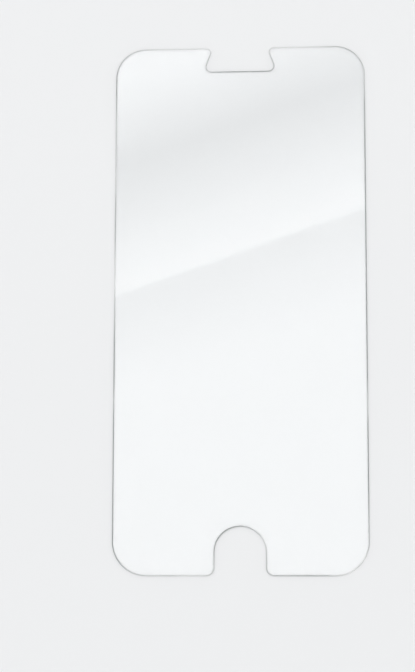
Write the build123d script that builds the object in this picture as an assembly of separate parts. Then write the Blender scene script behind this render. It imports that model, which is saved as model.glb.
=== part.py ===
from build123d import *
import os

# Screen protector: one flat sheet of toughened glass, in millimetres.
# It lies on its underside at Z = 0, with X across, Y along to the earpiece end and the touch face up.

# The sheet
length = 150.0
width = 71.0
thickness = 0.4
top_corner_radius = 8.5
bottom_corner_radius = 9.5

# Earpiece cut-out: an undercut notch in the top edge, wider at its floor than at its mouth.
# Its two widths are between the sharp corners, before they are rounded.
earpiece_mouth_width = 15.3
earpiece_floor_width = 20.6
earpiece_depth = 6.9
earpiece_nose_radius = 1.4
earpiece_floor_radius = 1.5

# Home-button cut-out: straight walls up from the bottom edge into a half-round arch
button_width = 14.2
button_depth = 13.5
button_lip_radius = 2.3

# Rim of the sheet: round on the touch side, a small bevel underneath, a narrow upright land between
rim_radius = 0.3
underside_bevel = 0.05
least_rim_land = 0.03

top_edge = length / 2
bottom_edge = -length / 2
right_edge = width / 2
earpiece_floor_level = top_edge - earpiece_depth


def earpiece_notch():
    mouth = earpiece_mouth_width / 2
    floor = earpiece_floor_width / 2
    left_wall = [(-mouth, top_edge), (-floor, earpiece_floor_level)]
    right_wall = [(floor, earpiece_floor_level), (mouth, top_edge)]
    return make_face(Polyline(*left_wall, *right_wall, close=True))


def button_arch():
    arch_radius = button_width / 2
    spring_level = bottom_edge + button_depth - arch_radius
    left_wall = Line((-arch_radius, bottom_edge), (-arch_radius, spring_level))
    arch = ThreePointArc(left_wall @ 1, (0, spring_level + arch_radius), (arch_radius, spring_level))
    right_wall = Line(arch @ 1, (arch_radius, bottom_edge))
    mouth = Line(right_wall @ 1, left_wall @ 0)
    return make_face([left_wall, arch, right_wall, mouth])


def round_pair(outline, x, y, radius):
    """Rounds the outline's corner at (x, y) and the one across the centre line."""
    pair = [outline.vertices().sort_by_distance((side * x, y, 0))[0] for side in (-1, 1)]
    return fillet(pair, radius)


def sheet_outline():
    outline = Rectangle(width, length) - earpiece_notch() - button_arch()
    outline = round_pair(outline, right_edge, top_edge, top_corner_radius)
    outline = round_pair(outline, right_edge, bottom_edge, bottom_corner_radius)
    outline = round_pair(outline, earpiece_mouth_width / 2, top_edge, earpiece_nose_radius)
    outline = round_pair(outline, earpiece_floor_width / 2, earpiece_floor_level, earpiece_floor_radius)
    return round_pair(outline, button_width / 2, bottom_edge, button_lip_radius)


def glass_sheet():
    sheet = extrude(sheet_outline(), thickness)
    # The round can take no more of the rim than the bevel and the land leave.
    round_over = min(rim_radius, thickness - underside_bevel - least_rim_land)
    touch_face = sheet.faces().sort_by(Axis.Z)[-1]
    sheet = fillet(touch_face.edges(), round_over)
    underside = sheet.faces().sort_by(Axis.Z)[0]
    return chamfer(underside.edges(), underside_bevel)


os.makedirs("parts", exist_ok=True)
export_step(glass_sheet(), "parts/glass_sheet.step")
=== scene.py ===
import math

import bmesh
import bpy
from mathutils import Matrix, Vector
from mathutils.geometry import delaunay_2d_cdt


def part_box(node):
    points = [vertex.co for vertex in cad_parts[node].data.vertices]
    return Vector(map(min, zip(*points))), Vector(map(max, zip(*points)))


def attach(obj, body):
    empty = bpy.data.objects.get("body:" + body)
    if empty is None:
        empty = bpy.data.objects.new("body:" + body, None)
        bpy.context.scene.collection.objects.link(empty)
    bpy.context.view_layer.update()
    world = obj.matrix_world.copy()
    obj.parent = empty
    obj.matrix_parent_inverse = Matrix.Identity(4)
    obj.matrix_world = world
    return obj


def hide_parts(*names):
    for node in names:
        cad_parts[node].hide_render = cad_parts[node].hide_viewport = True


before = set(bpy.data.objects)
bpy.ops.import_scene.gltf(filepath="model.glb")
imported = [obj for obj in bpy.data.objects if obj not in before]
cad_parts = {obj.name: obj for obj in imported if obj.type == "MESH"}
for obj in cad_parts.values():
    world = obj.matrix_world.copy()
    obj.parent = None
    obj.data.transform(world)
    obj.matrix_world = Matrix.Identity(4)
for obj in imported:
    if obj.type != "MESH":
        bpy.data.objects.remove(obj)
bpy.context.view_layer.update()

mm = 0.001  # the scene is in metres, sizes below are in millimetres
scene = bpy.context.scene
scene.view_settings.view_transform = "Standard"
scene.cycles.blur_glossy = 0.0  # light that comes through the glass stays as bright as it should
sheetLow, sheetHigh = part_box("glass_sheet")
print("frame loaded, sheet is", [round(v / mm, 2) for v in sheetHigh - sheetLow], "mm")


# colour and node helpers
def hexToLinear(text):
    parts = [int(text[i:i + 2], 16) / 255 for i in (1, 3, 5)]
    linear = [c / 12.92 if c <= 0.04045 else ((c + 0.055) / 1.055) ** 2.4 for c in parts]
    return (*linear, 1.0)


def grey(level):
    return (level, level, level, 1.0)


def addNode(tree, kind, settings=None, links=None, stops=None):
    # settings are attributes or sockets, links give a socket its source, both by name
    node = tree.nodes.new(kind)
    for name, value in (settings or {}).items():
        if hasattr(node, name):
            setattr(node, name, value)
        else:
            node.inputs[name].default_value = value
    for name, source in (links or {}).items():
        tree.links.new(source, node.inputs[name])
    for i, (at, colour) in enumerate(stops or []):  # a colour ramp's, lowest first
        elements = node.color_ramp.elements
        if i == 0:
            elements.remove(elements[-1])
        element = elements.new(at) if i else elements[0]
        element.position = at
        element.color = colour
    return node


def newMaterial(name):
    material = bpy.data.materials.new(name)
    material.use_nodes = True
    material.node_tree.nodes.clear()
    return material, material.node_tree


# toughened aluminosilicate glass, polished: clear and mirror smooth,
# it shows the floor and a sharp gleam
polishedGlass = {
    "tint": "#FEFFFF",
    "ior": 1.51,
    "roughClean": 0.0,
    "roughWiped": 0.02,  # where a cloth left the coating a little uneven
    "wipeMm": 9.0,
    "wipeSpan": (0.35, 0.75),  # noise that counts as clean, and as fully wiped
    "waveMm": 28.0,  # slow roll of drawn sheet
    "waveDepthMm": 0.01,
}


def makePolishedGlass():
    material, tree = newMaterial("polishedToughenedGlass")
    place = addNode(tree, "ShaderNodeTexCoord")
    wipes = addNode(tree, "ShaderNodeTexNoise",
                    {"Scale": 1 / (polishedGlass["wipeMm"] * mm), "Detail": 4.0},
                    {"Vector": place.outputs["Object"]})
    rough = addNode(tree, "ShaderNodeMapRange",
                    {"From Min": polishedGlass["wipeSpan"][0],
                     "From Max": polishedGlass["wipeSpan"][1],
                     "To Min": polishedGlass["roughClean"],
                     "To Max": polishedGlass["roughWiped"]},
                    {"Value": wipes.outputs["Fac"]})
    waves = addNode(tree, "ShaderNodeTexNoise",
                    {"Scale": 1 / (polishedGlass["waveMm"] * mm), "Detail": 0.0},
                    {"Vector": place.outputs["Object"]})
    roll = addNode(tree, "ShaderNodeBump", {"Distance": polishedGlass["waveDepthMm"] * mm},
                   {"Height": waves.outputs["Fac"]})
    glass = addNode(tree, "ShaderNodeBsdfPrincipled",
                    {"Base Color": hexToLinear(polishedGlass["tint"]), "IOR": polishedGlass["ior"],
                     "Transmission Weight": 1.0},
                    {"Roughness": rough.outputs["Result"], "Normal": roll.outputs["Normal"]})
    addNode(tree, "ShaderNodeOutputMaterial", None, {"Surface": glass.outputs["BSDF"]})
    return material


# the same glass, wheel ground and lapped round its rim: satin, and half clear.
# Its base colour is painted shade and light: grey stretches draw the rim's dark line, near-white
# ones show where it catches light
groundGlass = {
    # painted shade: the grey that draws the rim's dark outline
    "paintedShadeGrey": "#A8ACAC",
    "bright": "#FAFBFB",
    "ior": 1.51,
    "clear": 0.45,
    "roughLapped": 0.3,
    "roughGround": 0.55,
    "shadeStretchMm": 24.0,  # length of the painted grey and near-white stretches along the rim
    "shadeSpan": (0.40, 0.62),  # noise that comes out as painted shade, and as bright
    "shadeSeed": 372.354,  # which stretches get painted shade, and which come out bright
    "gritMm": 0.35,  # real grit is near 0.02, drawn coarser so that it shows
    "gritSpan": (0.3, 0.7),
    "gritDepthMm": 0.01,
}


def makeGroundGlass():
    material, tree = newMaterial("wheelGroundGlass")
    place = addNode(tree, "ShaderNodeTexCoord")
    shadeStretches = addNode(tree, "ShaderNodeTexNoise",
                     {"noise_dimensions": "4D", "W": groundGlass["shadeSeed"],
                      "Scale": 1 / (groundGlass["shadeStretchMm"] * mm), "Detail": 1.0},
                     {"Vector": place.outputs["Object"]})
    # painted shade and light on the rim: grey to near white along it, set by the stretch noise
    rimShade = addNode(tree, "ShaderNodeValToRGB", None, {"Fac": shadeStretches.outputs["Fac"]},
                   [(groundGlass["shadeSpan"][0], hexToLinear(groundGlass["paintedShadeGrey"])),
                    (groundGlass["shadeSpan"][1], hexToLinear(groundGlass["bright"]))])
    grit = addNode(tree, "ShaderNodeTexNoise",
                   {"Scale": 1 / (groundGlass["gritMm"] * mm), "Detail": 3.0},
                   {"Vector": place.outputs["Object"]})
    rough = addNode(tree, "ShaderNodeMapRange",
                    {"From Min": groundGlass["gritSpan"][0],
                     "From Max": groundGlass["gritSpan"][1],
                     "To Min": groundGlass["roughLapped"],
                     "To Max": groundGlass["roughGround"]},
                    {"Value": grit.outputs["Fac"]})
    bite = addNode(tree, "ShaderNodeBump", {"Distance": groundGlass["gritDepthMm"] * mm},
                   {"Height": grit.outputs["Fac"]})
    glass = addNode(tree, "ShaderNodeBsdfPrincipled",
                    {"IOR": groundGlass["ior"], "Transmission Weight": groundGlass["clear"]},
                    {"Base Color": rimShade.outputs["Color"], "Roughness": rough.outputs["Result"],
                     "Normal": bite.outputs["Normal"]})
    addNode(tree, "ShaderNodeOutputMaterial", None, {"Surface": glass.outputs["BSDF"]})
    return material


# silicone adhesive, coated on the underside: clear, with a softer shine and a slight orange peel
siliconeCoat = {
    "tint": "#FFFFFF",
    "ior": 1.41,
    "roughThin": 0.01,
    "roughThick": 0.04,
    "streakMm": 14.0,
    "streakSpan": (0.3, 0.7),  # noise that counts as thin, and as thick
    "peelMm": 1.8,
    "peelDepthMm": 0.002,
}


def makeSiliconeCoat():
    material, tree = newMaterial("coatedSiliconeAdhesive")
    place = addNode(tree, "ShaderNodeTexCoord")
    streaks = addNode(tree, "ShaderNodeTexNoise",
                      {"Scale": 1 / (siliconeCoat["streakMm"] * mm), "Detail": 2.0},
                      {"Vector": place.outputs["Object"]})
    rough = addNode(tree, "ShaderNodeMapRange",
                    {"From Min": siliconeCoat["streakSpan"][0],
                     "From Max": siliconeCoat["streakSpan"][1],
                     "To Min": siliconeCoat["roughThin"],
                     "To Max": siliconeCoat["roughThick"]},
                    {"Value": streaks.outputs["Fac"]})
    peel = addNode(tree, "ShaderNodeTexNoise",
                   {"Scale": 1 / (siliconeCoat["peelMm"] * mm), "Detail": 0.0},
                   {"Vector": place.outputs["Object"]})
    dimple = addNode(tree, "ShaderNodeBump", {"Distance": siliconeCoat["peelDepthMm"] * mm},
                     {"Height": peel.outputs["Fac"]})
    coat = addNode(tree, "ShaderNodeBsdfPrincipled",
                   {"Base Color": hexToLinear(siliconeCoat["tint"]), "IOR": siliconeCoat["ior"],
                    "Transmission Weight": 1.0},
                   {"Roughness": rough.outputs["Result"], "Normal": dimple.outputs["Normal"]})
    addNode(tree, "ShaderNodeOutputMaterial", None, {"Surface": coat.outputs["BSDF"]})
    return material


touchFace, groundRim, stickyFace = 0, 1, 2  # the sheet's material slots
sheetMaterials = [makePolishedGlass(), makeGroundGlass(), makeSiliconeCoat()]
print("materials made:", ", ".join(material.name for material in sheetMaterials))

# the sheet itself: outline corner by corner, and the section of its rim
sheetShape = {
    "topCornerMm": 8.5,
    "bottomCornerMm": 9.5,
    "notchMouthMm": 15.3,  # earpiece notch, between sharp corners
    "notchFloorMm": 20.6,
    "notchDepthMm": 6.9,
    "notchNoseMm": 1.4,
    "notchFloorRadiusMm": 1.5,
    "archWidthMm": 14.2,  # home-button cut-out
    "archDepthMm": 13.5,
    "archLipMm": 2.3,
    "rimRoundMm": 0.3,  # up to the touch face
    "rimBevelMm": 0.05,  # down to the sticky face
    "rimSteps": 12,
    "arcStepDeg": 3.0,
    "fillStepMm": 4.0,  # grid of points across the flat faces
    "fillClearMm": 1.5,  # and how far it stays from the rim
    "samePointMm": 0.0001,
}


def outlineCorners():
    halfWidth = (sheetHigh.x - sheetLow.x) / 2 / mm
    top, bottom = sheetHigh.y / mm, sheetLow.y / mm
    notchFloor = top - sheetShape["notchDepthMm"]
    archHalf = sheetShape["archWidthMm"] / 2
    archTop = bottom + sheetShape["archDepthMm"]
    right = [
        (sheetShape["notchFloorMm"] / 2, notchFloor, sheetShape["notchFloorRadiusMm"]),
        (sheetShape["notchMouthMm"] / 2, top, sheetShape["notchNoseMm"]),
        (halfWidth, top, sheetShape["topCornerMm"]),
        (halfWidth, bottom, sheetShape["bottomCornerMm"]),
        (archHalf, bottom, sheetShape["archLipMm"]),
        (archHalf, archTop, archHalf),  # two of these make the half round
    ]
    left = [(-x, y, radius) for x, y, radius in reversed(right)]
    return right + left  # clockwise from above, so the glass is on the right hand


def roundedLoop(corners):
    # every sample is a point on the outline and the way into the glass there
    loop = []
    for i, (x, y, radius) in enumerate(corners):
        here = Vector((x, y))
        toLast = (Vector(corners[i - 1][:2]) - here).normalized()
        toNext = (Vector(corners[(i + 1) % len(corners)][:2]) - here).normalized()
        opening = toLast.angle(toNext)
        centre = here + (toLast + toNext).normalized() * radius / math.sin(opening / 2)
        start = here + toLast * radius / math.tan(opening / 2) - centre
        convex = toLast.x * toNext.y - toLast.y * toNext.x > 0
        turn = opening - math.pi if convex else math.pi - opening
        steps = math.ceil(math.degrees(abs(turn)) / sheetShape["arcStepDeg"])
        for k in range(steps + 1):
            spoke = Matrix.Rotation(turn * k / steps, 2) @ start
            inward = -spoke.normalized() if convex else spoke.normalized()
            point = centre + spoke
            if not loop or (loop[-1][0] - point).length > sheetShape["samePointMm"]:
                loop.append((point, inward))
    if (loop[0][0] - loop[-1][0]).length < sheetShape["samePointMm"]:
        loop.pop()
    return loop


def rimSection():
    # inset and height: bevel, upright land, quarter round up to the touch face
    thick = (sheetHigh.z - sheetLow.z) / mm
    section = [(sheetShape["rimBevelMm"], 0.0), (0.0, sheetShape["rimBevelMm"])]
    for k in range(sheetShape["rimSteps"] + 1):
        lean = math.pi / 2 * k / sheetShape["rimSteps"]
        inset = sheetShape["rimRoundMm"] * (1 - math.cos(lean))
        height = thick - sheetShape["rimRoundMm"] * (1 - math.sin(lean))
        section.append((inset, height))
    return section


def gapToSide(point, a, b):
    along = b - a
    share = min(1, max(0, (point - a).dot(along) / along.length_squared))
    return (point - a - along * share).length


def fillFlat(build, ring):
    # even triangles across a flat face: a grid of points inside the ring, joined by Delaunay
    flat = [vert.co.to_2d() for vert in ring]
    sides = list(zip(flat, flat[1:] + flat[:1]))
    step, clear = sheetShape["fillStepMm"] * mm, sheetShape["fillClearMm"] * mm
    grid = []
    for row in range(math.ceil(sheetLow.y / step), math.floor(sheetHigh.y / step) + 1):
        for col in range(math.ceil(sheetLow.x / step), math.floor(sheetHigh.x / step) + 1):
            point = Vector((col * step, row * step))
            if all(gapToSide(point, a, b) > clear for a, b in sides):
                grid.append(point)
    edges = [(i, (i + 1) % len(flat)) for i in range(len(flat))]
    insideOnly, tolerance = 1, sheetShape["samePointMm"] * mm
    joined = delaunay_2d_cdt(flat + grid, edges, [], insideOnly, tolerance)
    points, _, triangles, origins, _, _ = joined
    verts = {}
    for i in sorted({i for triangle in triangles for i in triangle}):
        onRing = [k for k in origins[i] if k < len(ring)]
        verts[i] = ring[onRing[0]] if onRing else build.verts.new((*points[i], ring[0].co.z))
    return [build.faces.new([verts[i] for i in triangle]) for triangle in triangles]


def buildSheet():
    loop = roundedLoop(outlineCorners())
    count = len(loop)
    mesh = bpy.data.meshes.new("protectorGlass")
    build = bmesh.new()
    rings = []
    for inset, height in rimSection():
        spots = [point + inward * inset for point, inward in loop]
        rings.append([build.verts.new((spot.x * mm, spot.y * mm, height * mm)) for spot in spots])
    for low, high in zip(rings, rings[1:]):
        for i in range(count):
            j = (i + 1) % count
            face = build.faces.new((low[j], low[i], high[i], high[j]))
            face.smooth = True  # the flat faces aren't, which keeps them mirror flat up to the rim
            face.material_index = groundRim
    for i in range(count):
        build.edges.get((rings[1][i - 1], rings[1][i])).smooth = False  # crisp top edge of the bevel
    for ring, slotIndex in ((rings[-1], touchFace), (rings[0], stickyFace)):
        for face in fillFlat(build, ring):
            face.material_index = slotIndex
    bmesh.ops.recalc_face_normals(build, faces=build.faces)
    build.to_mesh(mesh)
    build.free()
    for material in sheetMaterials:
        mesh.materials.append(material)
    sheet = bpy.data.objects.new("protector_glass", mesh)
    scene.collection.objects.link(sheet)
    print("sheet built,", count, "points round the outline,", len(mesh.polygons), "faces")
    return sheet


sheet = buildSheet()
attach(sheet, "root")
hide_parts("glass_sheet")


def squareCorners(side):
    half = side / 2
    return [(-half, -half, 0), (half, -half, 0), (half, half, 0), (-half, half, 0)]


def stageCards(name, corners, material):
    perCard = 4  # corners of one card, listed card after card
    mesh = bpy.data.meshes.new(name)
    mesh.from_pydata(corners, [], [range(i, i + perCard) for i in range(0, len(corners), perCard)])
    mesh.materials.append(material)
    cards = bpy.data.objects.new(name, mesh)
    scene.collection.objects.link(cards)
    return cards


# plain pale floor, matt emulsion paint rolled on: even and shineless, a hair under the sheet
floor = {"colour": "#F0F1F2", "rough": 0.9, "specular": 0.1, "sizeM": 24.0, "gapMm": 0.02}


def makeFloor():
    material, tree = newMaterial("rolledMattPaint")
    surface = addNode(tree, "ShaderNodeBsdfPrincipled",
                      {"Base Color": hexToLinear(floor["colour"]), "Roughness": floor["rough"],
                       "Specular IOR Level": floor["specular"]})
    addNode(tree, "ShaderNodeOutputMaterial", None, {"Surface": surface.outputs["BSDF"]})
    plane = stageCards("floor", squareCorners(floor["sizeM"]), material)
    plane.location.z = sheetLow.z - floor["gapMm"] * mm


# graded softbox overhead, turned so that its bands cross the glass on a slant
softbox = {
    "heightM": 2.0,
    "sizeM": 1.7,
    "turnDeg": 19.3,
    "forwardM": 0.35,  # along its own turned axis
    # place along that axis in metres and how bright the diffuser is there
    "bands": [(-0.62, 1.2), (-0.42, 2.4), (-0.05, 2.4), (0.071, 1.35),
              (0.073, 2.75), (0.242, 0.3), (0.35, 2.4)],
}


def makeSoftbox():
    material, tree = newMaterial("softboxDiffuser")
    half = softbox["sizeM"] / 2
    brightest = max(level for at, level in softbox["bands"])
    place = addNode(tree, "ShaderNodeTexCoord")
    along = addNode(tree, "ShaderNodeSeparateXYZ", None, {"Vector": place.outputs["Object"]})
    share = addNode(tree, "ShaderNodeMapRange", {"From Min": -half, "From Max": half},
                    {"Value": along.outputs["Y"]})
    bands = addNode(tree, "ShaderNodeValToRGB", None, {"Fac": share.outputs["Result"]},
                    [((at + half) / softbox["sizeM"], grey(level / brightest))
                     for at, level in softbox["bands"]])
    glow = addNode(tree, "ShaderNodeEmission", {"Strength": brightest},
                   {"Color": bands.outputs["Color"]})
    addNode(tree, "ShaderNodeOutputMaterial", None, {"Surface": glow.outputs["Emission"]})
    card = stageCards("softbox", squareCorners(softbox["sizeM"]), material)
    turn = math.radians(softbox["turnDeg"])
    forward = Vector((-math.sin(turn), math.cos(turn), 0)) * softbox["forwardM"]
    card.location = forward + Vector((0, 0, softbox["heightM"]))
    card.rotation_euler.z = turn
    card.visible_camera = False


# leaning strip lights in a ring round the set, out of the picture:
# they put a gleam on the glass from any side
stripLights = {
    "count": 30,
    "radiusM": 10.0,
    "footDeg": 6.0,  # height above the horizon, as seen from the sheet
    "topDeg": 52.0,
    "wideDeg": 5.0,
    "leanDeg": 28.0,  # how far round the ring the top stands from the foot
    "level": 1.27,
}


def makeStripLights():
    material, tree = newMaterial("stripDiffuser")
    glow = addNode(tree, "ShaderNodeEmission", {"Strength": stripLights["level"]})
    addNode(tree, "ShaderNodeOutputMaterial", None, {"Surface": glow.outputs["Emission"]})
    half, lean = stripLights["wideDeg"] / 2, stripLights["leanDeg"]
    foot, top = stripLights["footDeg"], stripLights["topDeg"]
    outline = [(-half, foot), (half, foot), (half - lean, top), (-half - lean, top)]
    corners = []
    for k in range(stripLights["count"]):
        for aside, above in outline:
            turn = math.radians(360 * k / stripLights["count"] + aside)
            height = math.tan(math.radians(above))
            corners.append(Vector((math.cos(turn), math.sin(turn), height)) * stripLights["radiusM"])
    ring = stageCards("stripLights", corners, material)
    ring.visible_camera = False


# plain studio walls, at the horizon as bright as the far floor
studio = {
    # sine of the height above the horizon and how bright the wall is there
    "rise": [(0.0, 0.64), (0.1, 0.66), (0.3, 0.73), (0.5, 0.65), (0.7, 0.52), (1.0, 0.45)],
}


def makeWorld():
    world = bpy.data.worlds.new("studio")
    world.use_nodes = True
    tree = world.node_tree
    tree.nodes.clear()
    place = addNode(tree, "ShaderNodeTexCoord")
    way = addNode(tree, "ShaderNodeSeparateXYZ", None, {"Vector": place.outputs["Generated"]})
    wall = addNode(tree, "ShaderNodeValToRGB", None, {"Fac": way.outputs["Z"]},
                   [(at, grey(level)) for at, level in studio["rise"]])
    walls = addNode(tree, "ShaderNodeBackground", None, {"Color": wall.outputs["Color"]})
    addNode(tree, "ShaderNodeOutputWorld", None, {"Surface": walls.outputs["Background"]})
    scene.world = world


makeFloor()
makeSoftbox()
makeStripLights()
makeWorld()
print("floor, softbox, strip lights and studio walls ready")

# camera where the photograph was taken from, looking down on the sheet
shot = {
    "lensMm": 100.0,
    "sensorMm": 36.0,  # along the picture's long side
    "distanceMm": 522.8,
    "aimMm": (-9.14, -8.27),
    "leanAcrossDeg": 4.03,
    "leanAlongDeg": 8.53,
    "rollDeg": 0.117,
}


def makeCamera():
    data = bpy.data.cameras.new("camera")
    data.lens = shot["lensMm"]
    data.sensor_width = shot["sensorMm"]
    camera = bpy.data.objects.new("camera", data)
    across, along = math.radians(shot["leanAcrossDeg"]), math.radians(shot["leanAlongDeg"])
    back = Vector((math.tan(across), -math.tan(along), 1)).normalized()
    right = Vector((0, 1, 0)).cross(back).normalized()
    up = back.cross(right)
    facing = Matrix((right, up, back)).transposed().to_4x4()
    roll = Matrix.Rotation(math.radians(shot["rollDeg"]), 4, "Z")
    aim = Vector((*shot["aimMm"], 0)) * mm
    camera.matrix_world = Matrix.Translation(aim + back * shot["distanceMm"] * mm) @ facing @ roll
    scene.collection.objects.link(camera)
    scene.camera = camera
    print("camera set,", shot["distanceMm"], "mm from the sheet")


makeCamera()
